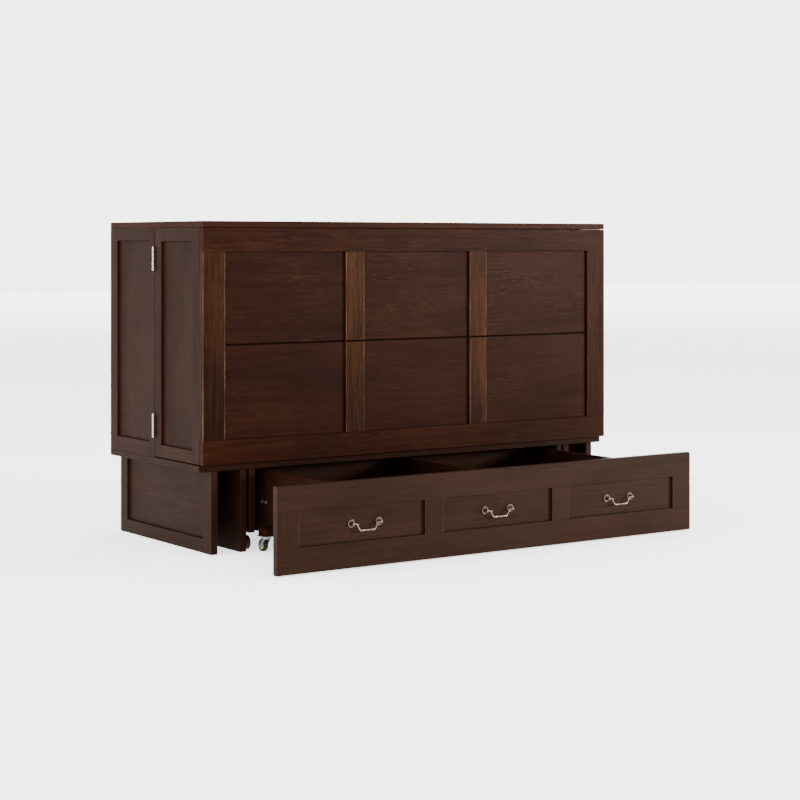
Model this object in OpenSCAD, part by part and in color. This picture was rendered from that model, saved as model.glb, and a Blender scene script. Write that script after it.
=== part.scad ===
// Murphy cabinet bed: a closed wooden cabinet whose front panel drops to make the bed,
// standing on a base with a wide storage drawer on casters.

/* [Cabinet] */
// Overall width of the cabinet
cabinet_w = 1626; // [1600:1:1640]
// Overall height to the top of the lid
cabinet_h = 1040; // [1040:1:1060]
// Depth of the upper cabinet with its front panel
cabinet_d = 641.5; // [641:0.5:660]
// Thickness of the lid, side boards and frames
board_t = 20; // [19:0.5:21]
// Thickness of the front panel
front_t = 19.6; // [19:0.1:19.8]
// Depth of every recessed field below its frame
recess = 9; // [6:0.5:10]

/* [Front panel] */
// Height of the bottom edge of the front panel
front_bottom = 281.9; // [281.5:0.1:282.5]
// Height of the top and bottom rails
front_rail_h = 75; // [70:1:80]
// Width of the outer stiles
outer_stile_w = 78; // [74:1:82]
// Width of the middle stiles
mid_stile_w = 70; // [66:1:74]
// Distance of the middle stiles from the centre
mid_stile_x = 250; // [240:1:260]

/* [Base] */
// Height of the deck board's underside
base_h = 259.5; // [259:0.5:260]
// Height of the deck board's top
deck_top = 280; // [279.5:0.5:280]
// Distance of the base sides' outer faces from the centre
base_side_x = 772; // [765:1:780]
// Depth of the base to its back face
base_back_y = 648; // [648:0.5:666]

/* [Drawer] */
// How far the drawer stands open
drawer_open = 443.6; // [300:0.1:460]
// Top of the drawer front
drawer_front_top = 264.5; // [262:0.5:264.5]
// Distance of the drawer sides' outer faces from the centre
drawer_side_x = 572; // [560:1:576]
// Depth of the drawer box behind its front
drawer_box_d = 560; // [480:1:570]
// Spacing of the two posts of one handle
post_pitch = 99; // [90:1:100]

/* [Mattress] */
// Width of the mattress
mattress_w = 1524; // [1480:1:1530]
// Height of a folded section as it stands
mattress_h = 677; // [620:1:690]
// Thickness of one section
mattress_t = 147; // [100:1:148]

/* [Hidden] */

// Colours
walnut = "#4a2318";
walnut_dark = "#331913";
walnut_warm = "#64301c";
plywood = "#b98d5e";
ticking = "#e6e1d6";
antique = "#8f8069";
nickel = "#c9c6bf";
steel = "#8f9498";
rubber_black = "#1a1a1a";

// Clearances
joint_gap = 0.1;
touch_gap = 1;
overlap = 1;

// Cabinet levels and faces
half_w = cabinet_w / 2;
side_in = half_w - board_t;
lid_bottom = cabinet_h - board_t;
lid_gap = 1.2;
front_top = lid_bottom - lid_gap;
back_t = 12;
rail_t = 20;
deck_front = 24.5;
slat_top = 303;
slats_front = 50;

// Side doors and rear side panels meet at the hinge line
hinge_y = 321.5;
door_bottom = 283.4;
door_top = lid_bottom - 0.3;
door_front = front_t + 1.9;

// Butt hinges of the lid, then the thicker ones of the doors
barrel_r = 3.1;
barrel_off = 3.3;
door_barrel_r = 4.4;
door_barrel_off = 4.6;
door_pin_head = [3.6, 1.6];
leaf_t = 0.9;
leaf_w = 20;
butt_l = 76;
butt_pin_r = 1.7;
pin_gap = 0.05;
knuckle_gap = 0.2;
door_hinge_z = [344, 882];
lid_hinge_x = [-600, 0, 600];
lid_plate = [3.4, 18];

// Hinge along the front panel's foot
drop_y = 20;
drop_z = 285.5;
strip_r = 2.5;
strip_pin_r = 1.25;
strip_l = 1400;
strip_pitch = 50;
strip_count = strip_l / strip_pitch;
rebate_y = 17.2;
rebate_z = 288.3;

// Drawer faces
drawer_front_y = 1.6 - drawer_open;
drawer_front_t = 20;
drawer_back_y = drawer_front_y + drawer_front_t + drawer_box_d;
drawer_front_bottom = 4;
drawer_rail_h = 77.5;
drawer_box_bottom = 52;
drawer_box_top = 250.5;
drawer_board_t = 18;
drawer_face_y = drawer_front_y + recess;

// Casters
caster_x = 597;
caster_y = [drawer_front_y + 135, drawer_back_y - 158];
wheel_r = 20;
wheel_w = 16;
wheel_trail = 20;
core_r = 13;
axle_r = 3;
kingpin_r = 4;
crown_r = 15;
crown_z = 42.5;

// Handles
handle_x = [-500, 0, 500];
bail_z = 135;
bail_out = 14;
bail_y = drawer_face_y - bail_out;
ball_r = 5;
bail_drop = 21;
bail_half = post_pitch / 2 - ball_r - 3.2;

// The origin is under the middle of the whole object with its drawer open
front_most = bail_y - ball_r;
origin_y = (front_most + base_back_y) / 2;

module place() {
    translate([0, -origin_y, 0]) children();
}

// A box between two x, two y and two z values
module slab(x, y, z) {
    translate([x[0], y[0], z[0]]) cube([x[1] - x[0], y[1] - y[0], z[1] - z[0]]);
}

// The same piece on the left and on the right
module both_sides() {
    children();
    mirror([1, 0, 0]) children();
}

// ---------- Lid ----------
module lid() {
    color(walnut) place() slab([-half_w, half_w], [0, cabinet_d], [lid_bottom, cabinet_h]);
}

// One leaf of a door hinge: its pin runs along +Z from the origin, its plate lies in +X,
// with the knuckles first, first + 2, ... of five. side is 1 or -1 for the plate's Y side.
module butt_leaf(first, side) {
    pitch = butt_l / 5;
    plate_y = side > 0 ? pin_gap : -pin_gap - leaf_t;
    difference() {
        union() {
            translate([door_barrel_off, plate_y, 0]) cube([leaf_w, leaf_t, butt_l]);
            for (k = [first : 2 : 4]) {
                translate([0, plate_y, k * pitch + knuckle_gap / 2])
                    cube([door_barrel_off + overlap, leaf_t, pitch - knuckle_gap]);
                translate([0, 0, k * pitch + knuckle_gap / 2])
                    cylinder(r = door_barrel_r, h = pitch - knuckle_gap, $fn = 48);
            }
        }
        translate([0, 0, -overlap])
            cylinder(r = butt_pin_r + pin_gap, h = butt_l + 2 * overlap, $fn = 48);
    }
}

module butt_pin() {
    cylinder(r = butt_pin_r, h = butt_l, $fn = 48);
    translate([0, 0, butt_l])
        cylinder(r = door_pin_head[0], h = door_pin_head[1], $fn = 48);
}

// Surface leaf on the back, its knuckles around an axis along X
module lid_leaf(first, up) {
    pitch = butt_l / 5;
    plate_low = up ? lid_plate[0] : -lid_plate[1];
    plate_high = up ? lid_plate[1] : -lid_plate[0];
    neck_low = up ? 0 : -barrel_r - overlap;
    difference() {
        union() {
            translate([0, -barrel_off, plate_low])
                cube([butt_l, leaf_t, plate_high - plate_low]);
            for (k = [first : 2 : 4]) {
                translate([k * pitch + knuckle_gap / 2, -barrel_off, neck_low])
                    cube([pitch - knuckle_gap, leaf_t, barrel_r + overlap]);
                translate([k * pitch + knuckle_gap / 2, 0, 0]) rotate([0, 90, 0])
                    cylinder(r = barrel_r, h = pitch - knuckle_gap, $fn = 48);
            }
        }
        translate([-overlap, 0, 0]) rotate([0, 90, 0])
            cylinder(r = butt_pin_r + pin_gap, h = butt_l + 2 * overlap, $fn = 48);
    }
}

module at_lid_hinges() {
    for (x = lid_hinge_x)
        translate([x - butt_l / 2, cabinet_d + barrel_off, lid_bottom]) children();
}

module lid_hinge_upper_leaves() {
    color(nickel) place() at_lid_hinges() lid_leaf(1, true);
}

module lid_hinge_lower_leaves() {
    color(nickel) place() at_lid_hinges() {
        lid_leaf(0, false);
        rotate([0, 90, 0]) cylinder(r = butt_pin_r, h = butt_l, $fn = 48);
    }
}

// ---------- Back ----------
anchor_pitch = 812.8;
anchor_z = 985;
anchor_r = 3.25;
back_rail_h = 70;

module anchor_holes() {
    for (x = [-anchor_pitch / 2, anchor_pitch / 2])
        translate([x, cabinet_d + overlap, anchor_z]) rotate([90, 0, 0])
            cylinder(r = anchor_r, h = back_t + rail_t + 2 * overlap, $fn = 48);
}

module back_panel() {
    color(walnut_dark) place() difference() {
        slab([-side_in, side_in], [cabinet_d - back_t, cabinet_d], [deck_top, lid_bottom]);
        anchor_holes();
    }
}

module back_top_rail() {
    color(walnut) place() difference() {
        slab([-side_in, side_in], [cabinet_d - back_t - rail_t, cabinet_d - back_t],
            [lid_bottom - back_rail_h, lid_bottom]);
        anchor_holes();
    }
}

// ---------- Deck ----------
module deck_board() {
    color(walnut) place() slab([-half_w, half_w], [deck_front, cabinet_d], [base_h, deck_top]);
}

deck_slat_w = 100;
deck_slat_n = 9;
deck_slat_pitch = 175;

module deck_slats() {
    color(plywood) place() for (k = [0 : deck_slat_n - 1]) {
        x = (k - (deck_slat_n - 1) / 2) * deck_slat_pitch;
        slab([x - deck_slat_w / 2, x + deck_slat_w / 2],
            [slats_front, cabinet_d - back_t - rail_t], [deck_top, slat_top]);
    }
}

// ---------- Framed side boards ----------
// Two stiles and two rails as separate pieces, on the left. y and z give the outer edges,
// ys and zs the edges of the field.
module side_frame(x_out, t, y, ys, z, zs) {
    slab([-x_out, -x_out + t], [y[0], ys[0]], z);
    slab([-x_out, -x_out + t], [ys[1], y[1]], z);
    slab([-x_out, -x_out + t], [ys[0] + joint_gap, ys[1] - joint_gap], [z[0], zs[0]]);
    if (zs[1] < z[1])
        slab([-x_out, -x_out + t], [ys[0] + joint_gap, ys[1] - joint_gap], [zs[1], z[1]]);
}

module side_field(x_out, t, ys, zs) {
    slab([-x_out + recess, -x_out + t], [ys[0] + joint_gap, ys[1] - joint_gap],
        [zs[0] + joint_gap, zs[1] - joint_gap]);
}

rear_y = [hinge_y + touch_gap, cabinet_d];
rear_ys = [360, 591];
rear_z = [deck_top, lid_bottom];
rear_zs = [327.6, 979];
door_y = [door_front, hinge_y - touch_gap];
door_ys = [69, 277];
door_z = [door_bottom, door_top];
door_zs = [323.5, 976];
base_t = 23;
base_y = [22, base_back_y];
base_ys = [75, 600];
base_z = [0, base_h];
base_zs = [45, base_h];

module rear_side_frames() {
    color(walnut) place() both_sides() side_frame(half_w, board_t, rear_y, rear_ys, rear_z, rear_zs);
}

module rear_side_panels() {
    color(walnut_dark) place() both_sides() side_field(half_w, board_t, rear_ys, rear_zs);
}

module door_frame() {
    side_frame(half_w, board_t, door_y, door_ys, door_z, door_zs);
}

module door_field() {
    side_field(half_w, board_t, door_ys, door_zs);
}

module door_frame_left() {
    color(walnut) place() door_frame();
}

module door_frame_right() {
    color(walnut) place() mirror([1, 0, 0]) door_frame();
}

module door_panel_left() {
    color(walnut_dark) place() door_field();
}

module door_panel_right() {
    color(walnut_dark) place() mirror([1, 0, 0]) door_field();
}

// Butt hinges at the left door, with their pins outside the side's face
module at_door_hinges() {
    for (z = door_hinge_z)
        translate([-half_w - door_barrel_off, hinge_y, z]) children();
}

module door_hinge_fixed_leaves() {
    color(nickel) place() both_sides() at_door_hinges() {
        butt_leaf(0, 1);
        butt_pin();
    }
}

module door_hinge_leaves_left() {
    color(nickel) place() at_door_hinges() butt_leaf(1, -1);
}

module door_hinge_leaves_right() {
    color(nickel) place() mirror([1, 0, 0]) at_door_hinges() butt_leaf(1, -1);
}

// ---------- Base ----------
module base_side_frames() {
    color(walnut) place() both_sides() side_frame(base_side_x, base_t, base_y, base_ys, base_z, base_zs);
}

module base_side_panels() {
    color(walnut_dark) place() both_sides() side_field(base_side_x, base_t, base_ys, base_zs);
}

inner_x = [645, 668];
inner_front = 22.5;
base_back_t = 18;

module base_inner_panels() {
    color(walnut_dark) place() both_sides()
        slab(inner_x, [inner_front, base_back_y - base_back_t - joint_gap], base_z);
}

module base_back_panel() {
    color(walnut_dark) place()
        slab([-base_side_x + base_t + joint_gap, base_side_x - base_t - joint_gap],
            [base_back_y - base_back_t, base_back_y], base_z);
}

batten_x = [614.5, 634.5];
batten_y = [inner_front, 45];
batten_z = [58, base_h];

module guide_battens() {
    color(walnut) place() both_sides() slab(batten_x, batten_y, batten_z);
}

// Round glides on short studs at the inner panels' feet
glide_r = 22.5;
glide_w = 16;
glide_x = 616;
glide_y = 67.5;
stud_r = 5;

module base_glides() {
    color(rubber_black) place() both_sides()
        translate([glide_x, glide_y, glide_r]) rotate([0, 90, 0]) {
            cylinder(r = glide_r, h = glide_w, $fn = 64);
            cylinder(r = stud_r, h = inner_x[0] - glide_x, $fn = 32);
        }
}

// ---------- Front panel ----------
front_zs = [front_bottom + front_rail_h, front_top - front_rail_h];
groove_z = (front_bottom + front_top) / 2 + 2.5;
groove_w = 4;

// A level V groove in the face at y
module groove(y) {
    translate([0, y, groove_z]) rotate([45, 0, 0])
        cube([2 * half_w, groove_w, groove_w], center = true);
}

module front_rail(z) {
    slab([-half_w, half_w], [0, front_t], z);
}

module front_top_rail() {
    color(walnut) place() front_rail([front_zs[1], front_top]);
}

module front_bottom_rail() {
    color(walnut) place() difference() {
        front_rail([front_bottom, front_zs[0]]);
        slab([-half_w - overlap, half_w + overlap], [rebate_y, front_t + overlap],
            [front_bottom - overlap, rebate_z]);
    }
}

module front_stile(x) {
    slab(x, [0, front_t], [front_zs[0] + joint_gap, front_zs[1] - joint_gap]);
}

module front_outer_stiles() {
    color(walnut) place() both_sides() front_stile([half_w - outer_stile_w, half_w]);
}

module front_mid_stiles() {
    color(walnut_warm) place() both_sides() difference() {
        front_stile([mid_stile_x - mid_stile_w / 2, mid_stile_x + mid_stile_w / 2]);
        groove(0);
    }
}

field_in = mid_stile_x - mid_stile_w / 2 - joint_gap;
field_mid = mid_stile_x + mid_stile_w / 2 + joint_gap;
field_out = half_w - outer_stile_w - joint_gap;

module front_infill(x) {
    difference() {
        slab(x, [recess, front_t], [front_zs[0] + joint_gap, front_zs[1] - joint_gap]);
        groove(recess);
    }
}

module front_infill_left() {
    color(walnut_dark) place() front_infill([-field_out, -field_mid]);
}

module front_infill_center() {
    color(walnut_dark) place() front_infill([-field_in, field_in]);
}

module front_infill_right() {
    color(walnut_dark) place() front_infill([field_mid, field_out]);
}

// Long strip hinge: even knuckles belong to the deck, odd ones to the panel
module strip_knuckles(first) {
    for (k = [first : 2 : strip_count - 1])
        translate([-strip_l / 2 + k * strip_pitch + knuckle_gap, drop_y, drop_z]) children();
}

strip_knuckle_l = strip_pitch - 2 * knuckle_gap;
strip_leaf_t = 1.2;
panel_leaf_t = 1;
panel_leaf_z = [rebate_z + 0.2, 310];
deck_leaf_y = [deck_front + 0.5, 46];

module strip_bore() {
    translate([-strip_l / 2 - overlap, drop_y, drop_z]) rotate([0, 90, 0])
        cylinder(r = strip_pin_r + pin_gap, h = strip_l + 2 * overlap, $fn = 32);
}

module front_hinge_panel_leaf() {
    color(steel) place() difference() {
        union() {
            slab([-strip_l / 2, strip_l / 2], [front_t, front_t + panel_leaf_t], panel_leaf_z);
            strip_knuckles(1) {
                rotate([0, 90, 0]) cylinder(r = strip_r, h = strip_knuckle_l, $fn = 32);
                translate([0, front_t - drop_y, 0])
                    cube([strip_knuckle_l, panel_leaf_t, 2 * strip_r]);
            }
        }
        strip_bore();
    }
}

module front_hinge_deck_leaf() {
    color(steel) place() {
        difference() {
            union() {
                slab([-strip_l / 2, strip_l / 2], deck_leaf_y, [deck_top, deck_top + strip_leaf_t]);
                slab([-strip_l / 2, strip_l / 2], [deck_leaf_y[0], deck_leaf_y[0] + strip_leaf_t],
                    [deck_top, drop_z + strip_leaf_t / 2]);
                strip_knuckles(0) {
                    rotate([0, 90, 0]) cylinder(r = strip_r, h = strip_knuckle_l, $fn = 32);
                    translate([0, 0, -strip_leaf_t / 2])
                        cube([strip_knuckle_l, deck_front + 1 - drop_y, strip_leaf_t]);
                }
            }
            strip_bore();
        }
        translate([-strip_l / 2, drop_y, drop_z]) rotate([0, 90, 0])
            cylinder(r = strip_pin_r, h = strip_l, $fn = 32);
    }
}

// ---------- Foot deck, folded against the front panel's inner face ----------
foot_half_w = 760;
foot_z = [300, 1000];
foot_y = [21.6, 39.6];
foot_rail_w = 70;
foot_slat_n = 5;
foot_slat_h = 70;

module foot_deck_panel() {
    pitch = (foot_z[1] - foot_z[0] - foot_slat_h) / (foot_slat_n - 1);
    inner = [foot_rail_w / 2 + joint_gap, foot_half_w - foot_rail_w - joint_gap];
    color(plywood) place() {
        slab([-foot_rail_w / 2, foot_rail_w / 2], foot_y, foot_z);
        both_sides() {
            slab([foot_half_w - foot_rail_w, foot_half_w], foot_y, foot_z);
            for (k = [0 : foot_slat_n - 1]) {
                z = foot_z[0] + k * pitch;
                slab(inner, foot_y, [z, z + foot_slat_h]);
            }
        }
        leg_bolts();
    }
}

foot_hinge_x = [-600, 0, 600];
foot_hinge_l = 76;
foot_hinge_r = 3;
foot_leaf_t = 1.5;
foot_leaf_top = 1016;

module foot_deck_hinges() {
    color(steel) place() for (x = foot_hinge_x) {
        hinge_x = [x - foot_hinge_l / 2, x + foot_hinge_l / 2];
        slab(hinge_x, [front_t, front_t + foot_leaf_t], [foot_z[1] + 1, foot_leaf_top]);
        slab(hinge_x, [front_t, foot_y[1] - foot_leaf_t], [foot_z[1], foot_z[1] + foot_leaf_t]);
        translate([hinge_x[0], front_t + foot_hinge_r, foot_z[1] + foot_hinge_r]) rotate([0, 90, 0])
            cylinder(r = foot_hinge_r, h = foot_hinge_l, $fn = 32);
    }
}

// Legs beside the foot deck, folded up along it
leg_x = [765.5, 788];
leg_w = 34;
leg_l = 280;
leg_end_r = 9;
leg_pivot = [foot_y[0] + leg_end_r, 330];
leg_bolt_r = 4;
leg_bolt_l = leg_x[1] - foot_half_w + overlap + 0.4;
leg_bolt_head = [8, 2.5];

module foot_leg() {
    y = [leg_pivot[0] - leg_end_r, leg_pivot[0] - leg_end_r + leg_w];
    color(walnut) place() difference() {
        union() {
            slab(leg_x, y, [leg_pivot[1], leg_pivot[1] + leg_l]);
            translate([leg_x[0], leg_pivot[0], leg_pivot[1]]) rotate([0, 90, 0])
                cylinder(r = leg_end_r, h = leg_x[1] - leg_x[0], $fn = 48);
        }
        translate([leg_x[0] - overlap, leg_pivot[0], leg_pivot[1]]) rotate([0, 90, 0])
            cylinder(r = leg_bolt_r + pin_gap, h = leg_x[1] - leg_x[0] + 2 * overlap, $fn = 32);
    }
}

module foot_leg_left() {
    mirror([1, 0, 0]) foot_leg();
}

module foot_leg_right() {
    foot_leg();
}

// The bolts the legs turn on
module leg_bolts() {
    both_sides() translate([foot_half_w - overlap, leg_pivot[0], leg_pivot[1]]) rotate([0, 90, 0]) {
        cylinder(r = leg_bolt_r, h = leg_bolt_l, $fn = 32);
        translate([0, 0, leg_bolt_l]) cylinder(r = leg_bolt_head[0], h = leg_bolt_head[1], $fn = 32);
    }
}

// ---------- Folded mattress ----------
mattress_back = cabinet_d - back_t - rail_t - 1.5;
mattress_gap = 2;
mattress_z = [slat_top + 0.3, slat_top + mattress_h];

module mattress_section(index) {
    y1 = mattress_back - index * (mattress_t + mattress_gap);
    color(ticking) place()
        slab([-mattress_w / 2, mattress_w / 2], [y1 - mattress_t, y1], mattress_z);
}

module mattress_head() {
    mattress_section(0);
}

module mattress_middle() {
    mattress_section(1);
}

module mattress_foot() {
    mattress_section(2);
}

// ---------- Drawer front ----------
drawer_face = [drawer_front_y, drawer_front_y + drawer_front_t];
drawer_zs = [drawer_front_bottom + drawer_rail_h, drawer_front_top - drawer_rail_h];

module drawer_front_rails() {
    color(walnut) place() {
        slab([-half_w, half_w], drawer_face, [drawer_front_bottom, drawer_zs[0]]);
        slab([-half_w, half_w], drawer_face, [drawer_zs[1], drawer_front_top]);
    }
}

module drawer_front_stiles() {
    z = [drawer_zs[0] + joint_gap, drawer_zs[1] - joint_gap];
    color(walnut) place() both_sides() {
        slab([half_w - outer_stile_w, half_w], drawer_face, z);
        slab([mid_stile_x - mid_stile_w / 2, mid_stile_x + mid_stile_w / 2], drawer_face, z);
    }
}

module drawer_front_infills() {
    y = [drawer_face_y, drawer_face[1]];
    z = [drawer_zs[0] + joint_gap, drawer_zs[1] - joint_gap];
    color(walnut_dark) place() {
        slab([-field_out, -field_mid], y, z);
        slab([-field_in, field_in], y, z);
        slab([field_mid, field_out], y, z);
    }
}

// ---------- Drawer box ----------
box_y = [drawer_face[1], drawer_back_y];
box_z = [drawer_box_bottom, drawer_box_top];
bottom_z = [drawer_box_bottom + 8, drawer_box_bottom + 20];

// Blocks beside the drawer sides carry the casters
block_x = 612;
block_h = 23;
block_half = 26;

module drawer_sides() {
    color(walnut) place() both_sides() {
        slab([drawer_side_x - drawer_board_t, drawer_side_x], box_y, box_z);
        for (y = caster_y)
            slab([drawer_side_x + joint_gap, block_x], [y - block_half, y + block_half],
                [drawer_box_bottom, drawer_box_bottom + block_h]);
    }
}

module drawer_back() {
    x = drawer_side_x - drawer_board_t - joint_gap;
    color(walnut) place() slab([-x, x], [box_y[1] - drawer_board_t, box_y[1]], box_z);
}

module drawer_bottom() {
    x = drawer_side_x - drawer_board_t - joint_gap;
    color(walnut_dark) place()
        slab([-x, x], [box_y[0], box_y[1] - drawer_board_t - joint_gap], bottom_z);
}

module drawer_divider() {
    color(walnut) place() slab([-drawer_board_t / 2, drawer_board_t / 2],
        [box_y[0], box_y[1] - drawer_board_t - joint_gap], [bottom_z[1], drawer_box_top]);
}

// Bolt heads on the drawer sides near the back
drawer_bolt_y = [25, 47];
drawer_bolt_z = 150;
drawer_bolt_washer = [7, 1.2];
drawer_bolt_head = [4.5, 5];

module drawer_bolts() {
    color(nickel) place() both_sides() for (y = drawer_bolt_y)
        translate([drawer_side_x, y, drawer_bolt_z]) rotate([0, 90, 0]) {
            cylinder(r = drawer_bolt_washer[0], h = drawer_bolt_washer[1], $fn = 32);
            cylinder(r = drawer_bolt_head[0], h = drawer_bolt_head[1], $fn = 32);
        }
}

// ---------- Casters ----------
plate_size = [44, 48, 2.5];
race_z = [46, 50];
kingpin_z = [41, 47];
kingpin_head_r = 7;
kingpin_head_z = [40.5, 42.2];

// A cylinder between two heights
module disc(r, z, sides) {
    translate([0, 0, z[0]]) cylinder(r = r, h = z[1] - z[0], $fn = sides);
}

module caster_plates() {
    color(steel) place() both_sides() for (y = caster_y) translate([caster_x, y, 0]) {
        translate([-plate_size[0] / 2, -plate_size[1] / 2, drawer_box_bottom - plate_size[2]])
            cube(plate_size);
        disc(crown_r, race_z, 64);
        disc(kingpin_r, kingpin_z, 48);
        disc(kingpin_head_r, kingpin_head_z, 48);
    }
}

crown_t = 3;
cheek_t = 2;
cheek_x = wheel_w / 2 + 1.5;
cheek_end_r = 7;

// One cheek of the fork, from the crown down to the axle behind it
module cheek() {
    rotate([90, 0, 90]) linear_extrude(cheek_t) {
        polygon([[-9, crown_z + overlap], [13, crown_z + overlap], [wheel_trail + 6.5, wheel_r + 3],
            [wheel_trail - 6.5, wheel_r - 3]]);
        translate([wheel_trail, wheel_r]) circle(r = cheek_end_r, $fn = 48);
    }
}

module caster_fork(x, y) {
    color(steel) place() translate([x, y, 0]) {
        difference() {
            disc(crown_r, [crown_z, crown_z + crown_t], 64);
            disc(kingpin_r + pin_gap, [crown_z - overlap, crown_z + crown_t + overlap], 48);
        }
        for (s = [-cheek_x - cheek_t, cheek_x])
            translate([s, 0, 0]) cheek();
        translate([-cheek_x - cheek_t - 1, wheel_trail, wheel_r]) rotate([0, 90, 0])
            cylinder(r = axle_r, h = 2 * (cheek_x + cheek_t + 1), $fn = 48);
    }
}

tyre_edge = 2;
core_inset = 1;

module caster_wheel(x, y) {
    color(rubber_black) place() translate([x - wheel_w / 2, y + wheel_trail, wheel_r])
        rotate([90, 0, 90]) {
            rotate_extrude($fn = 96) {
                translate([core_r + pin_gap, tyre_edge])
                    square([wheel_r - core_r - pin_gap, wheel_w - 2 * tyre_edge]);
                translate([core_r + pin_gap, 0])
                    square([wheel_r - core_r - pin_gap - tyre_edge, wheel_w]);
            }
            difference() {
                disc(core_r, [core_inset, wheel_w - core_inset], 64);
                disc(axle_r + 2 * pin_gap, [-overlap, wheel_w + overlap], 48);
            }
        }
}

module caster_fork_front_left() {
    caster_fork(-caster_x, caster_y[0]);
}

module caster_fork_front_right() {
    caster_fork(caster_x, caster_y[0]);
}

module caster_fork_rear_left() {
    caster_fork(-caster_x, caster_y[1]);
}

module caster_fork_rear_right() {
    caster_fork(caster_x, caster_y[1]);
}

module caster_wheel_front_left() {
    caster_wheel(-caster_x, caster_y[0]);
}

module caster_wheel_front_right() {
    caster_wheel(caster_x, caster_y[0]);
}

module caster_wheel_rear_left() {
    caster_wheel(-caster_x, caster_y[1]);
}

module caster_wheel_rear_right() {
    caster_wheel(caster_x, caster_y[1]);
}

// ---------- Handles ----------
rosette_r = 10.6;
rosette_t = 1.2;
ring_r = 1.3;
post_r = 3;
bail_pin_r = 1.5;
bail_pin_l = 10.5;
neck_share = 0.42;
ball_tip = 9;
tip_z = -2.5;
grip_ring = [4.6, 2.4];

module at_posts() {
    for (x = handle_x)
        for (s = [-1, 1])
            translate([x + s * post_pitch / 2, drawer_face_y, bail_z]) children();
}

// A round ring that lies on the drawer front around each post
module handle_rosettes() {
    color(antique) place() at_posts() rotate([90, 0, 0]) {
        rotate_extrude($fn = 48) {
            translate([rosette_r, ring_r]) circle(r = ring_r, $fn = 24);
            translate([post_r + joint_gap, 0]) square([rosette_r - post_r - joint_gap, rosette_t]);
        }
    }
}

module handle_posts() {
    color(antique) place() at_posts() difference() {
        union() {
            rotate([90, 0, 0]) cylinder(r = post_r, h = bail_out, $fn = 32);
            translate([0, -bail_out, 0]) sphere(r = ball_r, $fn = 24);
        }
        translate([-10, -bail_out, 0]) rotate([0, 90, 0])
            cylinder(r = bail_pin_r + pin_gap, h = 20, $fn = 32);
    }
}

// Centre line of the bail: swan necks at both ends and a level grip, t from 0 to 1
function neck(t) = min(1, (1 - abs(2 * t - 1)) / neck_share);
function bail_point(t) = [
    bail_half * (2 * t - 1),
    -bail_drop * neck(t) * neck(t) * (3 - 2 * neck(t))
];
// Thick beside the necks, thin at the pivots and at the middle
function bail_r(t) = 1.8 + 1.6 * exp(-pow((abs(2 * t - 1) - 0.45) / 0.22, 2));
bail_steps = 44;

module bail_tube() {
    sides = 12;
    rings = [for (i = [0 : bail_steps])
        let (t = i / bail_steps,
            p = bail_point(t),
            q = bail_point(min(1, t + 0.01)),
            o = bail_point(max(0, t - 0.01)),
            d = (q - o) / norm(q - o),
            r = bail_r(t))
        [for (k = [0 : sides - 1])
            let (a = 360 * k / sides)
            [p[0] - d[1] * r * cos(a), r * sin(a), p[1] + d[0] * r * cos(a)]]];
    points = [for (ring = rings) for (p = ring) p];
    last = bail_steps * sides;
    faces = concat(
        [[for (k = [sides - 1 : -1 : 0]) k]],
        [[for (k = [0 : sides - 1]) last + k]],
        [for (i = [0 : bail_steps - 1]) for (k = [0 : sides - 1])
            let (a = i * sides + k,
                b = i * sides + (k + 1) % sides)
            [a, b, b + sides, a + sides]]
    );
    polyhedron(points = points, faces = faces, convexity = 6);
}

module bail_end() {
    sphere(r = 2.6, $fn = 24);
    rotate([0, 90, 0]) cylinder(r = bail_pin_r, h = bail_pin_l, $fn = 24);
    translate([-ball_tip, 0, tip_z]) sphere(r = 2, $fn = 24);
    translate([-ball_tip, 0, tip_z]) rotate([0, 75, 0]) cylinder(r = 1.3, h = ball_tip, $fn = 24);
}

module bail(x) {
    color(antique) place() translate([x, bail_y, bail_z]) {
        bail_tube();
        translate([0, 0, -bail_drop]) {
            sphere(r = 3.6, $fn = 24);
            translate([-grip_ring[1] / 2, 0, 0]) rotate([0, 90, 0])
                cylinder(r = grip_ring[0], h = grip_ring[1], $fn = 24);
        }
        both_sides() translate([bail_half, 0, 0]) bail_end();
    }
}

module handle_bail_left() {
    bail(handle_x[0]);
}

module handle_bail_center() {
    bail(handle_x[1]);
}

module handle_bail_right() {
    bail(handle_x[2]);
}

lid();
lid_hinge_upper_leaves();
lid_hinge_lower_leaves();
back_panel();
back_top_rail();
deck_board();
deck_slats();
rear_side_frames();
rear_side_panels();
base_side_frames();
base_side_panels();
base_inner_panels();
base_back_panel();
guide_battens();
base_glides();
door_frame_left();
door_frame_right();
door_panel_left();
door_panel_right();
door_hinge_fixed_leaves();
door_hinge_leaves_left();
door_hinge_leaves_right();
front_top_rail();
front_bottom_rail();
front_outer_stiles();
front_mid_stiles();
front_infill_left();
front_infill_center();
front_infill_right();
front_hinge_panel_leaf();
front_hinge_deck_leaf();
foot_deck_panel();
foot_deck_hinges();
foot_leg_left();
foot_leg_right();
mattress_head();
mattress_middle();
mattress_foot();
drawer_front_rails();
drawer_front_stiles();
drawer_front_infills();
drawer_sides();
drawer_back();
drawer_bottom();
drawer_divider();
drawer_bolts();
caster_plates();
caster_fork_front_left();
caster_fork_front_right();
caster_fork_rear_left();
caster_fork_rear_right();
caster_wheel_front_left();
caster_wheel_front_right();
caster_wheel_rear_left();
caster_wheel_rear_right();
handle_rosettes();
handle_posts();
handle_bail_left();
handle_bail_center();
handle_bail_right();
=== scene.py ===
import math
import bmesh
import bpy
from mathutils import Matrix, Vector, noise


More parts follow.
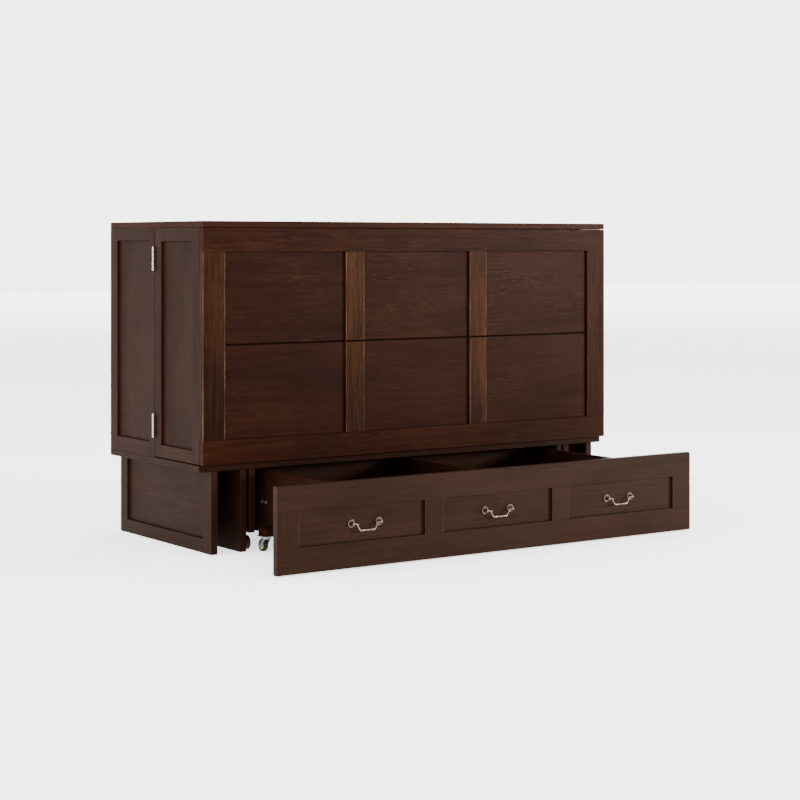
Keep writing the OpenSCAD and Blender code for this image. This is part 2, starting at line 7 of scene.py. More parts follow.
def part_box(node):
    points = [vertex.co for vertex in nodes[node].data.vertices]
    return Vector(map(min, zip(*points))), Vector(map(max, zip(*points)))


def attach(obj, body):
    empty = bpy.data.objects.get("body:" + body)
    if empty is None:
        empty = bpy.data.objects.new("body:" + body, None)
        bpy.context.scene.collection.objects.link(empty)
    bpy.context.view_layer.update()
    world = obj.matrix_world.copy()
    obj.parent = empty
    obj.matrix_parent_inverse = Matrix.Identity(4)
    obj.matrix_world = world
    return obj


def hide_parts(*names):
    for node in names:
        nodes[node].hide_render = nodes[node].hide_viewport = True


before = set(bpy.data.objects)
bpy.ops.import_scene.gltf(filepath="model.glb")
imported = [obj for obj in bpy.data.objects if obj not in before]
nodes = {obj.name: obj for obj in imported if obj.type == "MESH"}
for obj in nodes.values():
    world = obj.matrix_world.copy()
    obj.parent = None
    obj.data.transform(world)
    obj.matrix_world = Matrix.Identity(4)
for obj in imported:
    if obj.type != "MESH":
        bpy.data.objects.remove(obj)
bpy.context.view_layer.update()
scene = bpy.context.scene


# ---------------------------------------------------------------- node helpers
class Mat:
    """A material with short calls for its nodes."""

    def __init__(self, name):
        self.m = bpy.data.materials.new(name)
        self.m.use_nodes = True
        self.t = self.m.node_tree
        self.t.nodes.clear()
        self.out = self.add("ShaderNodeOutputMaterial")
        self.bsdf = self.add("ShaderNodeBsdfPrincipled")
        self.link(self.bsdf.outputs[0], self.out.inputs["Surface"])

    def add(self, kind, **props):
        n = self.t.nodes.new(kind)
        for k, v in props.items():
            setattr(n, k, v)
        return n

    def link(self, a, b):
        self.t.links.new(a, b)

    def put(self, socket, value):
        if hasattr(value, "is_output"):
            self.link(value, socket)
        else:
            socket.default_value = value

    def math(self, op, a, b=0.0, c=0.0, clamp=False):
        n = self.add("ShaderNodeMath", operation=op, use_clamp=clamp)
        for s, v in zip(n.inputs, (a, b, c)):
            self.put(s, v)
        return n.outputs[0]

    def vec(self, op, a, b=(0, 0, 0)):
        n = self.add("ShaderNodeVectorMath", operation=op)
        self.put(n.inputs[0], a)
        self.put(n.inputs[1], b)
        return n.outputs["Value"]

    def coords(self):
        return self.add("ShaderNodeTexCoord").outputs["Object"]

    def noise(self, vec, scale, detail=3.0, rough=0.55, distort=0.0):
        n = self.add("ShaderNodeTexNoise")
        self.put(n.inputs["Vector"], vec)
        n.inputs["Scale"].default_value = scale
        n.inputs["Detail"].default_value = detail
        n.inputs["Roughness"].default_value = rough
        n.inputs["Distortion"].default_value = distort
        return n.outputs["Fac"]

    def ramp(self, fac, low, high, a=0.0, b=1.0):
        n = self.add("ShaderNodeMapRange", interpolation_type="SMOOTHSTEP")
        for s, v in zip(n.inputs, (fac, low, high, a, b)):
            self.put(s, v)
        return n.outputs[0]

    def mix(self, fac, a, b):
        n = self.add("ShaderNodeMix", data_type="RGBA")
        self.put(n.inputs["Factor"], fac)
        self.put(n.inputs["A"], rgba(a))
        self.put(n.inputs["B"], rgba(b))
        return n.outputs["Result"]

    def bump(self, height, strength, distance):
        n = self.add("ShaderNodeBump")
        n.inputs["Strength"].default_value = strength
        n.inputs["Distance"].default_value = distance
        self.put(n.inputs["Height"], height)
        return n.outputs[0]

    def edge(self, radius, upright=False):
        """1 on an edge, 0 on a flat face. With upright, level edges are left out."""
        b = self.add("ShaderNodeBevel", samples=6)
        b.inputs["Radius"].default_value = radius
        g = self.add("ShaderNodeNewGeometry")
        same = self.vec("DOT_PRODUCT", b.outputs[0], g.outputs["Normal"])
        e = self.math("SUBTRACT", 1.0, same, clamp=True)
        if not upright:
            return e
        tilt = self.math("ABSOLUTE", self.vec("DOT_PRODUCT", b.outputs[0], (0, 0, 1)))
        return self.math("MULTIPLY", e, self.ramp(tilt, 0.35, 0.10))

    def finish(self, color, rough, metallic=0.0, normal=None, **other):
        self.put(self.bsdf.inputs["Base Color"], rgba(color))
        self.put(self.bsdf.inputs["Roughness"], rough)
        self.bsdf.inputs["Metallic"].default_value = metallic
        if normal is not None:
            self.link(normal, self.bsdf.inputs["Normal"])
        for k, v in other.items():
            self.put(self.bsdf.inputs[k.replace("_", " ")], v)
        return self.m


def rgba(c):
    if isinstance(c, (tuple, list)):
        return tuple(c[:3]) + (1.0,)
    return c


# ---------------------------------------------------------------- wood
# linear colours of each kind of board: its darkest, usual and lightest wood, its light pores and
# its edges, lighter where worn and where a painted highlight stands in for the lacquer's reflection
TONES = {
    "espresso": dict(
        dark=(0.0022, 0.0004, 0.0002), mid=(0.0084, 0.0015, 0.0004), light=(0.0185, 0.0048, 0.0015),
        dash=(0.034, 0.013, 0.006), edge=(0.120, 0.056, 0.036)),
    "infill": dict(
        dark=(0.0024, 0.0006, 0.0002), mid=(0.0078, 0.0016, 0.0005), light=(0.015, 0.004, 0.0014),
        dash=(0.028, 0.011, 0.0055), edge=(0.090, 0.042, 0.027)),
    "warm": dict(
        dark=(0.0022, 0.0005, 0.0002), mid=(0.0095, 0.0024, 0.0007), light=(0.030, 0.0108, 0.0032),
        dash=(0.060, 0.028, 0.012), edge=(0.190, 0.105, 0.066)),
    "golden": dict(
        dark=(0.0016, 0.0004, 0.0002), mid=(0.0066, 0.0015, 0.0005), light=(0.025, 0.008, 0.0026),
        dash=(0.050, 0.022, 0.009), edge=(0.190, 0.105, 0.066)),
    "side": dict(
        dark=(0.005, 0.0017, 0.001), mid=(0.0104, 0.0036, 0.002), light=(0.0165, 0.0064, 0.0038),
        dash=(0.032, 0.014, 0.009), edge=(0.085, 0.045, 0.034)),
    "drawer": dict(
        dark=(0.0036, 0.0011, 0.0004), mid=(0.009, 0.0028, 0.001), light=(0.015, 0.0053, 0.002),
        dash=(0.024, 0.010, 0.005), edge=(0.130, 0.078, 0.056)),
    "inner": dict(
        dark=(0.0044, 0.0013, 0.0007), mid=(0.0096, 0.0029, 0.0015), light=(0.015, 0.0051, 0.0026),
        dash=(0.020, 0.009, 0.005), edge=(0.042, 0.020, 0.013)),
    "shadow": dict(
        dark=(0.001, 0.0004, 0.0003), mid=(0.0022, 0.0007, 0.0004), light=(0.0036, 0.0012, 0.0007),
        dash=(0.004, 0.002, 0.001), edge=(0.006, 0.002, 0.001)),
    "ply": dict(
        dark=(0.130, 0.075, 0.038), mid=(0.220, 0.140, 0.075), light=(0.290, 0.200, 0.115),
        dash=(0.320, 0.240, 0.150), edge=(0.300, 0.220, 0.135)),
}

RINGS_PER_M = 74.0
# how many cells of each layer's noise fit in a metre: along the grain, across it, into the board
WANDER = (0.9, 1.0, 1.0)
STREAKS = (3.2, 75.0, 75.0)
RING_FADE = (1.6, 7.0, 7.0)
PORES = (42.0, 900.0, 900.0)
LIGHT_DASHES = (21.0, 240.0, 240.0)
DASH_GROUPS = (3.0, 11.0, 11.0)
DARK_DASHES = (9.0, 170.0, 170.0)
CLOUDS = (1.7, 4.6, 4.6)
TINTS = (2.6, 6.0, 6.0)
ARCH_BREAKS = (60.0, 130.0, 130.0)
ARCH_GROUPS = (3.4, 9.0, 9.0)
# the heights between which the painted shade at a board's foot fades
FOOT_FROM, FOOT_TO = 0.86, 0.50


def wood(name, axis, tone, seed, figure=0.5, rough=0.40, warm=0.0, rings=0.30, spec=0.014, dashes=0.42,
         arches=0.0, arris=0.0026, wear=0.70, foot=0.0):
    """Lacquered open-pored wood, its grain along axis. figure is how much the rings arch, rings how
    strongly they show; dashes are short light pores and arches light pores along the rings; warm
    lightens the board, spec is the lacquer's reflection, arris the width of the lighter band on its
    upright edges, partly wear and partly a painted highlight for the lacquer's reflection, and
    wear how light that band is. foot is how much darker the lower part of an
    upright board is, as painted shade."""
    m = Mat(name)
    p = m.coords()
    s = m.add("ShaderNodeSeparateXYZ")
    m.link(p, s.inputs[0])
    x, y, z = s.outputs
    along, a, b = {"X": (x, z, y), "Y": (y, z, x), "Z": (z, x, y)}[axis]
    h = seed * 1.37

    def layer(cells, *more):
        """Noise whose cells are drawn out along the grain; each seed has its own place in it."""
        c = m.add("ShaderNodeCombineXYZ")
        for socket, way, step, count in zip(c.inputs, (along, a, b), (0.7, 1.1, 1.7), cells):
            m.put(socket, m.math("MULTIPLY", m.math("ADD", way, step * h), count))
        return m.noise(c.outputs[0], *more)

    def product(*factors):
        total = factors[0]
        for f in factors[1:]:
            total = m.math("MULTIPLY", total, f)
        return total

    # rings round a heart that lies under the face and tilts, wandering along the board
    wave = product(m.math("SUBTRACT", layer(WANDER, 2.4, 4.0, 0.5), 0.5), 0.15)
    heart = m.math("SINE", m.math("MULTIPLY_ADD", along, 2.3, h * 2.0))
    ra = m.math("ADD", m.math("ADD", a, wave), 0.13 * math.sin(h * 5.0))
    rb = m.math("ADD", product(heart, 0.06 * figure), 0.030 + 0.02 * math.cos(h))
    r = m.math("SQRT", m.math("ADD", product(ra, ra), product(rb, rb)))
    streak = layer(STREAKS, 1.0, 5.0, 0.62)
    r = m.math("ADD", r, product(streak, 0.010))
    ring = m.math("FRACT", product(r, RINGS_PER_M))
    late = product(m.ramp(ring, 0.30, 0.93), m.ramp(ring, 1.0, 0.93))
    # rings fade in and out over the board
    late = product(late, m.ramp(layer(RING_FADE, 1.0, 3.0, 0.5), 0.36, 0.62, 0.15, 1.0))
    # pores and short light dashes, drawn out along the grain
    pores = m.ramp(layer(PORES, 1.0, 2.0, 0.6), 0.56, 0.70)
    pores = product(pores, m.math("MULTIPLY_ADD", late, 0.7, 0.3))
    dash = m.ramp(layer(LIGHT_DASHES, 1.0, 3.0, 0.6), 0.52, 0.72)
    dash = product(dash, m.ramp(layer(DASH_GROUPS, 1.0, 3.0, 0.5), 0.36, 0.66))
    dark_dash = m.ramp(layer(DARK_DASHES, 1.3, 4.0, 0.62), 0.57, 0.74)
    clouds = layer(CLOUDS, 1.3, 4.0, 0.55, 0.5)
    tint = layer(TINTS, 1.0, 2.0, 0.5)
    # colour, from the broadest layer to the finest
    col = m.mix(m.ramp(streak, 0.25, 0.78), tone["mid"], tone["light"])
    col = m.mix(product(late, rings), col, tone["dark"])
    col = m.mix(product(dark_dash, 0.40), col, tone["dark"])
    col = m.mix(product(pores, 0.45), col, tone["dark"])
    col = m.mix(product(m.ramp(clouds, 0.60, 0.34), 0.42), col, tone["dark"])
    lighter = m.math("MULTIPLY_ADD", m.ramp(clouds, 0.50, 0.74), 0.25, warm, clamp=True)
    col = m.mix(lighter, col, tone["light"])
    col = m.mix(product(dash, dashes), col, tone["dash"])
    if arches:
        line = product(m.ramp(ring, 0.02, 0.16), m.ramp(ring, 0.44, 0.20))
        broken = m.ramp(layer(ARCH_BREAKS, 1.0, 2.0, 0.5), 0.44, 0.60)
        patch = m.ramp(layer(ARCH_GROUPS, 1.0, 2.0, 0.5), 0.44, 0.62)
        col = m.mix(product(line, broken, patch, arches), col, tone["dash"])
    red, green, blue = tone["mid"]
    olive = (red * 0.9, green * 1.35, blue)
    col = m.mix(product(m.ramp(tint, 0.45, 0.70), 0.20), col, olive)
    # painted shade: the board darkens towards its foot
    if foot:
        col = m.mix(product(m.ramp(z, FOOT_FROM, FOOT_TO), foot), col, tone["dark"])
    # the upright edges are lightened, partly as wear and partly as a painted highlight standing in for
    # the lacquer's reflection; level edges are left out
    lit_worn_edge = m.ramp(m.edge(arris, True), 0.02, 0.26)
    patchy = m.ramp(m.noise(p, 9.0, 4.0, 0.6), 0.30, 0.72, 0.20, 1.0)
    col = m.mix(product(lit_worn_edge, patchy, wear), col, tone["edge"])
    n = m.bump(m.math("SUBTRACT", product(late, -0.25), pores), 0.35, 0.00035)
    ro = m.math("ADD", product(m.noise(p, 14.0, 3.0, 0.6), 0.10), rough - 0.05)
    ro = m.math("ADD", ro, product(pores, 0.18))
    return m.finish(col, ro, normal=n, Specular_IOR_Level=spec)


# ---------------------------------------------------------------- metals, rubber, plastic
def metal(name, color, dark, rough, scale, tarnish, edge_color=None):
    """Metal with spots of tarnish, dark in its corners and, with edge_color, rubbed along its edges."""
    m = Mat(name)
    p = m.coords()
    spots = m.noise(p, scale, 4.0, 0.65)
    col = m.mix(m.math("MULTIPLY", m.ramp(spots, 0.45, 0.72), tarnish), color, dark)
    ao = m.add("ShaderNodeAmbientOcclusion", samples=6)
    ao.inputs["Distance"].default_value = 0.006
    col = m.mix(m.math("MULTIPLY", m.ramp(ao.outputs["AO"], 0.85, 0.35), 0.8), col, dark)
    if edge_color:
        col = m.mix(m.math("MULTIPLY", m.ramp(m.edge(0.0008), 0.03, 0.35), 0.6), col, edge_color)
    ro = m.math("ADD", m.math("MULTIPLY", spots, 0.22), rough - 0.08)
    n = m.bump(m.noise(p, scale * 2.2, 3.0, 0.6), 0.10, 0.0003)
    return m.finish(col, ro, 1.0, n)


def plain(name, color, dark, rough):
    """Rubber or plastic: a fine grain under broad dusty patches."""
    m = Mat(name)
    p = m.coords()
    grainy = m.noise(p, 400.0, 4.0, 0.6)
    dusty = m.noise(p, 48.0, 3.0, 0.6)
    col = m.mix(m.ramp(dusty, 0.35, 0.75), color, dark)
    ro = m.math("ADD", m.math("MULTIPLY", dusty, 0.2), rough - 0.1)
    return m.finish(col, ro, normal=m.bump(grainy, 0.15, 0.0003), Specular_IOR_Level=0.12)


antique = metal("antique_brass", (0.134, 0.097, 0.071), (0.026, 0.017, 0.012), 0.38, 500.0, 0.35,
                edge_color=(0.26, 0.20, 0.158))
patina = metal("dark_patina", (0.040, 0.025, 0.018), (0.012, 0.007, 0.005), 0.55, 500.0, 0.5)
nickel = metal("satin_nickel", (0.27, 0.210, 0.174), (0.13, 0.10, 0.083), 0.34, 700.0, 0.25)
zinc = metal("zinc_plate", (0.26, 0.27, 0.28), (0.10, 0.10, 0.105), 0.40, 240.0, 0.45)
tread = plain("black_tread", (0.007, 0.007, 0.0075), (0.016, 0.015, 0.014), 0.70)
core = plain("green_core", (0.30, 0.31, 0.045), (0.20, 0.20, 0.030), 0.42)
glide = plain("dark_plastic", (0.007, 0.006, 0.0055), (0.014, 0.012, 0.011), 0.6)


# ---------------------------------------------------------------- dressing the CAD nodes
def islands(obj):
    """The separate solids of a node: lists of polygon indices with their boxes."""
    me = obj.data
    key = [tuple(round(c, 5) for c in v.co) for v in me.vertices]
    ids = {}
    num = [ids.setdefault(k, len(ids)) for k in key]
    parent = list(range(len(ids)))

    def root(i):
        while parent[i] != i:
            parent[i] = parent[parent[i]]
            i = parent[i]
        return i

    for poly in me.polygons:
        first = root(num[poly.vertices[0]])
        for v in poly.vertices[1:]:
            parent[root(num[v])] = first
    groups = {}
    for poly in me.polygons:
        groups.setdefault(root(num[poly.vertices[0]]), []).append(poly.index)
    out = []
    for g in groups.values():
        pts = [me.vertices[v].co for i in g for v in me.polygons[i].vertices]
        lo = Vector([min(c[k] for c in pts) for k in range(3)])
        hi = Vector([max(c[k] for c in pts) for k in range(3)])
        out.append((g, lo, hi))
    out.sort(key=lambda t: tuple(round(v, 4) for v in t[1]))
    return out


def soften(obj, width, segments=2, angle=40, smooth=True):
    """Welds a CAD node's faces, rounds its edges a little and keeps its flat faces flat. With width
    0 its edges stay sharp, because a bevel leaves slivers on a face with holes in it."""
    if "custom_normal" in obj.data.attributes:
        obj.data.attributes.remove(obj.data.attributes["custom_normal"])
    for p in obj.data.polygons:
        p.use_smooth = smooth
    w = obj.modifiers.new("weld", "WELD")
    w.merge_threshold = 0.00001
    if width == 0:
        return
    b = obj.modifiers.new("bevel", "BEVEL")
    b.width = width
    b.segments = segments
    b.limit_method = "ANGLE"
    b.angle_limit = math.radians(angle)
    if smooth:
        e = obj.modifiers.new("split", "EDGE_SPLIT")
        e.split_angle = math.radians(35)


def paint(name, *mats):
    """Gives a node these materials, with the first one on all its faces."""
    obj = nodes[name]
    obj.data.materials.clear()
    for m in mats:
        obj.data.materials.append(m)
    for p in obj.data.polygons:
        p.material_index = 0
    return obj


wood_made = {}


def get_wood(axis, tone_name, seed, **kw):
    """The wood of this kind, made once."""
    key = (axis, tone_name, seed, tuple(sorted(kw.items())))
    if key not in wood_made:
        name = "wood_%s_%s_%d_%d" % (tone_name, axis, seed, len(wood_made))
        wood_made[key] = wood(name, axis, TONES[tone_name], seed, **kw)
    return wood_made[key]


def board(name, tone="espresso", axis=None, seeds=(1, 2, 3), width=0.0012, **kw):
    """Wood on every solid of a node, grain along each solid's longest side unless axis says."""
    obj = nodes[name]
    obj.data.materials.clear()
    slots = {}
    for n, (polys, lo, hi) in enumerate(islands(obj)):
        size = hi - lo
        ax = axis or "XYZ"[max(range(3), key=lambda k: size[k])]
        key = (ax, seeds[n % len(seeds)])
        if key not in slots:
            slots[key] = len(obj.data.materials)
            obj.data.materials.append(get_wood(ax, tone, key[1], **kw))
        for i in polys:
            obj.data.polygons[i].material_index = slots[key]
    soften(obj, width, smooth=False)


FLUSH = 0.0008  # the edges of parts that lie flush with each other
FRAME = 0.0014  # the edges of the sides' frames
LIT_WORN_ARRIS = 0.0048  # how far in from the stiles' upright edges the wear and the painted highlight reach
side_finish = dict(rough=0.5, spec=0.02)

board("lid", axis="X", seeds=(4,), width=0.0018, warm=0.30)
board("back_panel", seeds=(9,), width=0)
board("back_top_rail", seeds=(3,), width=0)
board("deck_board", "side", seeds=(5,), **side_finish)
nodes["deck_board"].data.materials.append(get_wood("X", "inner", 5))
for p in nodes["deck_board"].data.polygons:
    if p.normal[1] < -0.5:  # its front edge, under the front panel
        p.material_index = 1
board("deck_slats", "ply", seeds=(1, 2, 3), rough=0.5)
board("rear_side_frames", "side", seeds=(1, 2, 3), width=FRAME, **side_finish)
board("rear_side_panels", "side", axis="Z", seeds=(6, 7), **side_finish)
board("base_side_frames", "side", seeds=(2, 3, 1), width=FRAME, **side_finish)
board("base_side_panels", "side", axis="Y", seeds=(8, 9), **side_finish)
board("base_inner_panels", "inner", axis="Y", seeds=(5, 6))
board("base_back_panel", seeds=(7,))
board("guide_battens", "inner", seeds=(1, 2))
board("door_frame_left", "side", seeds=(3, 1, 2), width=FRAME, **side_finish)
board("door_frame_right", "side", seeds=(2, 3, 1), width=FRAME, **side_finish)
board("door_panel_left", "side", axis="Z", seeds=(7,), **side_finish)
board("door_panel_right", "side", axis="Z", seeds=(8,), **side_finish)
board("front_top_rail", seeds=(2,), width=FLUSH, figure=0.25)
board("front_bottom_rail", seeds=(3,), width=FLUSH, figure=0.25, warm=0.06)
board("front_outer_stiles", axis="Z", seeds=(1, 2), width=FLUSH, warm=0.06)
# the left one is more golden, with painted shade at its foot and a wide painted highlight on its upright
# edges
left_stile = get_wood("Z", "golden", 23, rings=0.5, figure=1.5, arris=LIT_WORN_ARRIS, wear=1.0, foot=0.42)
nodes["front_outer_stiles"].data.materials[0] = left_stile

board("foot_deck_panel", "ply", seeds=(1, 2, 3), rough=0.5)
board("foot_leg_left", seeds=(1,))
board("foot_leg_right", seeds=(2,))
board("drawer_front_rails", "drawer", seeds=(1, 2), width=FLUSH, figure=0.25, spec=0.03)
board("drawer_front_stiles", "drawer", axis="Z", seeds=(3, 1), width=FLUSH, spec=0.03)
board("drawer_front_infills", "drawer", axis="X", seeds=(2, 3, 4), spec=0.03)
board("drawer_sides", "inner", axis="Y", seeds=(5, 6))
board("drawer_back", "inner", seeds=(7,))
board("drawer_bottom", "inner", seeds=(8,))
board("drawer_divider", "inner", seeds=(9,))

# the front's stiles and recessed boards: other wood above the groove than below, dark in the groove
stiles_low, stiles_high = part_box("front_outer_stiles")
groove_z = 0.5 * (stiles_low[2] + stiles_high[2]) + 0.0025


def grooved(name, upper, lower):
    """Paints a node in one wood above the groove and another below, with the groove in shadow."""
    obj = paint(name, upper, lower, get_wood("X", "shadow", 1))
    for p in obj.data.polygons:
        p.material_index = 1 if p.center[2] < groove_z else 0
        if abs(p.normal[1]) > 0.2 and abs(p.normal[2]) > 0.2:  # the groove's sloping sides
            p.material_index = 2
    soften(obj, FLUSH, smooth=False)


upper_looks = (dict(figure=0.8, rings=0.25, warm=0.0, arches=0.0),
               dict(figure=0.8, rings=0.25, warm=0.10, arches=0.0),
               dict(figure=2.4, rings=0.5, warm=0.20, arches=0.6))
lower_looks = (dict(figure=0.9, rings=0.25, warm=0.0, arches=0.0),
               dict(figure=0.9, rings=0.25, warm=0.08, arches=0.0),
               dict(figure=2.0, rings=0.25, warm=0.16, arches=0.5))
for n, place in enumerate(("left", "center", "right")):
    grooved("front_infill_" + place,
            get_wood("X", "infill", 11 + n, dashes=0.6, **upper_looks[n]),
            get_wood("X", "infill", 15 + n, dashes=0.4, **lower_looks[n]))
stile_look = dict(figure=1.5, arris=LIT_WORN_ARRIS)
grooved("front_mid_stiles",
        get_wood("Z", "warm", 21, rings=0.7, dashes=0.5, wear=1.0, **stile_look),
        get_wood("Z", "warm", 22, rings=0.6, dashes=0.3, wear=0.9, **stile_look))

PLATE_RADIUS = 0.0094
for name in nodes:
    if name.startswith("caster_wheel"):
        obj = paint(name, tread, core)
        parts = islands(obj)
        inner = min(parts, key=lambda t: t[2][2] - t[1][2])
        for i in inner[0]:
            obj.data.polygons[i].material_index = 1
        soften(obj, 0.0006, 2, 30)
    elif name.startswith("caster"):
        soften(paint(name, zinc), 0.0004, 2, 30)
    elif name == "handle_rosettes":
        # a dark plate inside each bright ring
        obj = paint(name, antique, patina)
        for polys, lo, hi in islands(obj):
            mid = (lo + hi) / 2
            for i in polys:
                c = obj.data.polygons[i].center
                if math.hypot(c.x - mid.x, c.z - mid.z) < PLATE_RADIUS:
                    obj.data.polygons[i].material_index = 1
        soften(obj, 0.0003, 2, 50)
    elif name.startswith("handle"):
        soften(paint(name, antique), 0.0003, 2, 50)
for name in ("lid_hinge_upper_leaves", "lid_hinge_lower_leaves", "door_hinge_fixed_leaves",
             "door_hinge_leaves_left", "door_hinge_leaves_right", "drawer_bolts"):
    soften(paint(name, nickel), 0.0003, 2, 30)
for name in ("front_hinge_panel_leaf", "front_hinge_deck_leaf", "foot_deck_hinges"):
    soften(paint(name, zinc), 0.0003, 1, 30)
soften(paint("base_glides", glide), 0.0015, 3, 30)


# ---------------------------------------------------------------- mattress
def ticking():
    """The mattress cover: a pale stretch knit."""
    m = Mat("mattress_cover")
    p = m.coords()
    s = m.add("ShaderNodeSeparateXYZ")
    m.link(p, s.inputs[0])
    x, y, z = s.outputs
    # a fine knit: loops in columns
    wales = m.math("SINE", m.math("MULTIPLY", x, 2 * math.pi / 0.0016))
    rows = m.math("SINE", m.math("MULTIPLY", m.math("ADD", z, y), 2 * math.pi / 0.0021))
    knit = m.math("MULTIPLY", m.math("ADD", wales, 1.0), m.math("ADD", rows, 1.0))
    fuzz = m.noise(p, 900.0, 3.0, 0.7)
    tone = m.noise(p, 6.0, 3.0, 0.5)
    col = m.mix(m.ramp(tone, 0.3, 0.7), (0.46, 0.43, 0.375), (0.53, 0.50, 0.45))
    col = m.mix(m.math("MULTIPLY", m.ramp(knit, 1.2, 0.0), 0.30), col, (0.34, 0.31, 0.265))
    n = m.bump(m.math("ADD", m.math("MULTIPLY", knit, 0.25), fuzz), 0.5, 0.0005)
    return m.finish(col, 0.86, normal=n, Sheen_Weight=0.25)


def tape():
    """The woven tape along the mattress seams."""
    m = Mat("edge_tape")
    p = m.coords()
    weave = m.noise(p, 1600.0, 2.0, 0.6)
    col = m.mix(m.ramp(weave, 0.35, 0.7), (0.16, 0.15, 0.135), (0.24, 0.225, 0.20))
    return m.finish(col, 0.8, normal=m.bump(weave, 0.5, 0.0004), Sheen_Weight=0.3)


cover_mat = ticking()
tape_mat = tape()


def capped(obj, before, cap):
    """Keeps every point within cap of where it was."""
    for v, was in zip(obj.data.vertices, before):
        move = v.co - was
        if move.length > cap:
            v.co = was + move.normalized() * cap


START_INSET = Vector((0.007, 0.007, 0.006))  # room for the pad to swell in
SWELL_CAP = 0.006
SWELL_FRAMES = 20
DIAMOND_PITCH = 0.125
BORDER = 0.03  # the plain strip round the quilting
STITCH_WIDTH = 0.009
STITCH_DEPTH = 0.0062
PUFF_HEIGHT = 0.0022


def mattress_mesh(lo, hi):
    """One section of the folding mattress: a quilted foam block, its faces swollen by cloth pressure."""
    mid = (lo + hi) / 2
    half = (hi - lo) / 2 - START_INSET
    bm = bmesh.new()
    bmesh.ops.create_cube(bm, size=2.0)
    for v in bm.verts:
        v.co = Vector((v.co[k] * half[k] for k in range(3)))
    bmesh.ops.bevel(bm, geom=bm.edges[:], offset=0.022, segments=4, profile=0.5, affect="EDGES")
    me = bpy.data.meshes.new("mattress")
    bm.to_mesh(me)
    bm.free()
    obj = bpy.data.objects.new("mattress", me)
    scene.collection.objects.link(obj)
    obj.location = mid
    rm = obj.modifiers.new("remesh", "REMESH")
    rm.mode = "VOXEL"
    rm.voxel_size = 0.009
    apply_modifiers(obj)
    before = [v.co.copy() for v in obj.data.vertices]
    c = obj.modifiers.new("cloth", "CLOTH")
    c.settings.use_pressure = True
    c.settings.uniform_pressure_force = 4.0
    c.settings.effector_weights.gravity = 0.0
    c.settings.quality = 4
    c.collision_settings.use_collision = False
    c.point_cache.frame_start = 1
    c.point_cache.frame_end = SWELL_FRAMES
    for f in range(1, SWELL_FRAMES + 1):
        scene.frame_set(f)
    apply_modifiers(obj)
    scene.frame_set(1)
    capped(obj, before, SWELL_CAP)
    # sewn diamonds on the two broad faces and a stitched line round the border
    for v in obj.data.vertices:
        x, y, z = v.co
        from_side = half[0] - BORDER - abs(x)
        from_end = half[2] - BORDER - abs(z)
        if abs(y) > half[1] - 0.016 and from_side > 0 and from_end > 0:
            fade = min(1.0, from_side / BORDER, from_end / BORDER)
            u = (x + z) / DIAMOND_PITCH
            w = (x - z) / DIAMOND_PITCH
            from_stitch = min(abs(u - round(u)), abs(w - round(w))) * DIAMOND_PITCH
            groove = math.exp(-((from_stitch / STITCH_WIDTH) ** 2))
            puff = min(1.0, from_stitch / 0.04) ** 0.6
            v.co.y += math.copysign(1, y) * fade * (PUFF_HEIGHT * puff - STITCH_DEPTH * groove)
        elif abs(y) < 0.012:
            pull = 0.0035 * math.exp(-((y / 0.005) ** 2))
            if abs(x) > half[0] - 0.02:
                v.co.x -= math.copysign(pull, x)
            elif abs(z) > half[2] - 0.02:
                v.co.z -= math.copysign(pull, z)
        wrinkle = noise.noise(Vector((x * 5, y * 9, z * 5)))
        v.co.y += 0.0012 * wrinkle * (1 if abs(y) > half[1] - 0.02 else 0)
    sub = obj.modifiers.new("sub", "SUBSURF")
    sub.levels = 1
    sub.render_levels = 1
    obj.data.materials.append(cover_mat)
    for p in obj.data.polygons:
        p.use_smooth = True
    return obj, half


def apply_modifiers(obj):
    dg = bpy.context.evaluated_depsgraph_get()
    dg.update()
    me = bpy.data.meshes.new_from_object(obj.evaluated_get(dg))
    obj.modifiers.clear()
    obj.data = me


TAPE_RADIUS = 0.004


def piping(half, mid, y_side):
    """The taped seam round one broad face."""
    x0 = half[0] - 0.006
    z0 = half[2] - 0.006
    corner = 0.026
    curve = bpy.data.curves.new("piping", "CURVE")
    curve.dimensions = "3D"
    curve.bevel_depth = TAPE_RADIUS
    curve.bevel_resolution = 3
    pts = []
    for cx, cz, a0 in ((1, 1, 0), (-1, 1, 90), (-1, -1, 180), (1, -1, 270)):
        for k in range(7):
            a = math.radians(a0 + 15 * k)
            pts.append((cx * (x0 - corner) + corner * math.cos(a),
                        cz * (z0 - corner) + corner * math.sin(a)))
    sp = curve.splines.new("POLY")
    sp.points.add(len(pts) - 1)
    sp.use_cyclic_u = True
    for q, (px, pz) in zip(sp.points, pts):
        q.co = (px, y_side * (half[1] - 0.010), pz, 1.0)
    curve.materials.append(tape_mat)
    o = bpy.data.objects.new("piping", curve)
    scene.collection.objects.link(o)
    o.location = mid
    dg = bpy.context.evaluated_depsgraph_get()
    dg.update()
    me = bpy.data.meshes.new_from_object(o.evaluated_get(dg))
    solid = bpy.data.objects.new("piping", me)
    scene.collection.objects.link(solid)
    solid.location = mid
    bpy.data.objects.remove(o)
    for p in solid.data.polygons:
        p.use_smooth = True
    return solid


sections = ("mattress_head", "mattress_middle", "mattress_foot")
lo, hi = (Vector(c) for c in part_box(sections[0]))
first, half = mattress_mesh(lo, hi)
for n, name in enumerate(sections):
    lo, hi = (Vector(c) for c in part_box(name))
    mid = (lo + hi) / 2
    pad = first if n == 0 else bpy.data.objects.new(name + "_pad", first.data)
    if n:
        scene.collection.objects.link(pad)
        sub = pad.modifiers.new("sub", "SUBSURF")
        sub.levels = 1
        sub.render_levels = 1
    pad.name = name + "_pad"
    pad.location = mid
    seams = [piping(half, mid, s) for s in (-1, 1)]
    for s, side in zip(seams, ("front", "back")):
        s.name = name + "_seam_" + side
        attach(s, "cabinet")
    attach(pad, "cabinet")
    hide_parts(name)

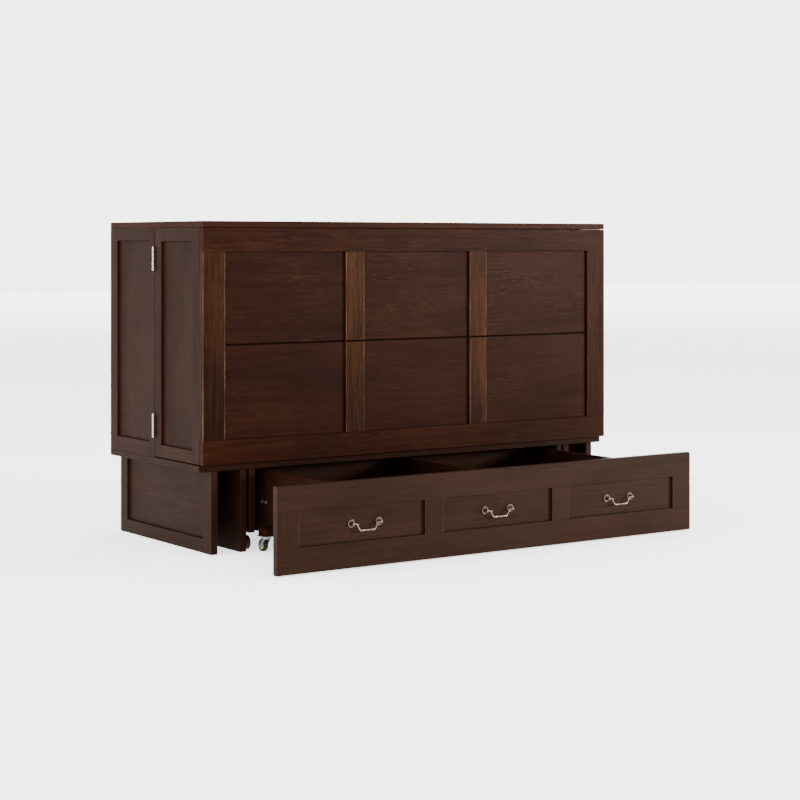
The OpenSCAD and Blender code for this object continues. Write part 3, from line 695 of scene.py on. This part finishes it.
# ---------------------------------------------------------------- studio
floor_me = bpy.data.meshes.new("floor")
fb = bmesh.new()
bmesh.ops.create_grid(fb, x_segments=2, y_segments=2, size=30.0)
fb.to_mesh(floor_me)
fb.free()
floor = bpy.data.objects.new("floor", floor_me)
scene.collection.objects.link(floor)
fm = Mat("floor")
# the floor brightens with distance, from 1.4 at 5 m to 4.0 at 26 m, so that it meets the backdrop
away = fm.ramp(fm.vec("LENGTH", fm.coords()), 5.0, 26.0, 1.4, 4.0)
floor_me.materials.append(fm.finish((0.93, 0.93, 0.925), 0.75, Emission_Color=(1.0, 1.0, 1.0, 1.0),
                                    Emission_Strength=away))

world = bpy.data.worlds.new("studio")
scene.world = world
world.use_nodes = True
wt = world.node_tree
bg = wt.nodes["Background"]
bg.inputs[0].default_value = (1.0, 0.992, 0.98, 1.0)
# soft light all round, and a brighter band along the horizon
BAND_TOP, BAND_END = 0.13, 0.24
BAND_LIGHT, SKY_LIGHT = 4.6, 1.2
way = wt.nodes.new("ShaderNodeTexCoord")
part = wt.nodes.new("ShaderNodeSeparateXYZ")
up = wt.nodes.new("ShaderNodeMath")
up.operation = "ABSOLUTE"
band = wt.nodes.new("ShaderNodeMapRange")
band.interpolation_type = "SMOOTHSTEP"
for socket, value in zip(band.inputs[1:5], (BAND_TOP, BAND_END, BAND_LIGHT, SKY_LIGHT)):
    socket.default_value = value
wt.links.new(way.outputs["Generated"], part.inputs[0])
wt.links.new(part.outputs[2], up.inputs[0])
wt.links.new(up.outputs[0], band.inputs[0])
wt.links.new(band.outputs[0], bg.inputs[1])


def area(name, where, target, size, power, color=(1, 1, 1)):
    """A square soft light, size metres wide, power in watts."""
    light = bpy.data.lights.new(name, "AREA")
    light.shape = "SQUARE"
    light.size = size
    light.energy = power
    light.color = color
    o = bpy.data.objects.new(name, light)
    scene.collection.objects.link(o)
    o.location = where
    o.rotation_euler = (Vector(target) - Vector(where)).to_track_quat("-Z", "Y").to_euler()


area("overhead", (0.0, 0.0, 6.0), (0.0, 0.0, 0.0), 14.0, 1500)
area("left", (-6.0, 0.6, 1.8), (-0.8, 0.3, 0.5), 1.6, 330, (1.0, 0.98, 0.96))
area("right", (6.4, -6.4, 2.0), (0.1, 0, 0.5), 1.4, 1650, (1.0, 0.97, 0.93))

# the camera stands level at the photo's angle; its place is measured from the front panel's face
CAMERA_TO_LEFT = 3.6738
CAMERA_TO_FRONT = 5.2079
EYE_HEIGHT = 0.9711
CAMERA_TURN = -34.66  # degrees from straight on
cam = bpy.data.cameras.new("camera")
cam.sensor_width = 36.0
cam.lens = 86.15
cam.shift_y = -0.1962
co = bpy.data.objects.new("camera", cam)
scene.collection.objects.link(co)
front_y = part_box("front_top_rail")[0][1]
co.location = (-CAMERA_TO_LEFT, front_y - CAMERA_TO_FRONT, EYE_HEIGHT)
co.rotation_euler = (math.radians(90), 0, math.radians(CAMERA_TURN))
scene.camera = co
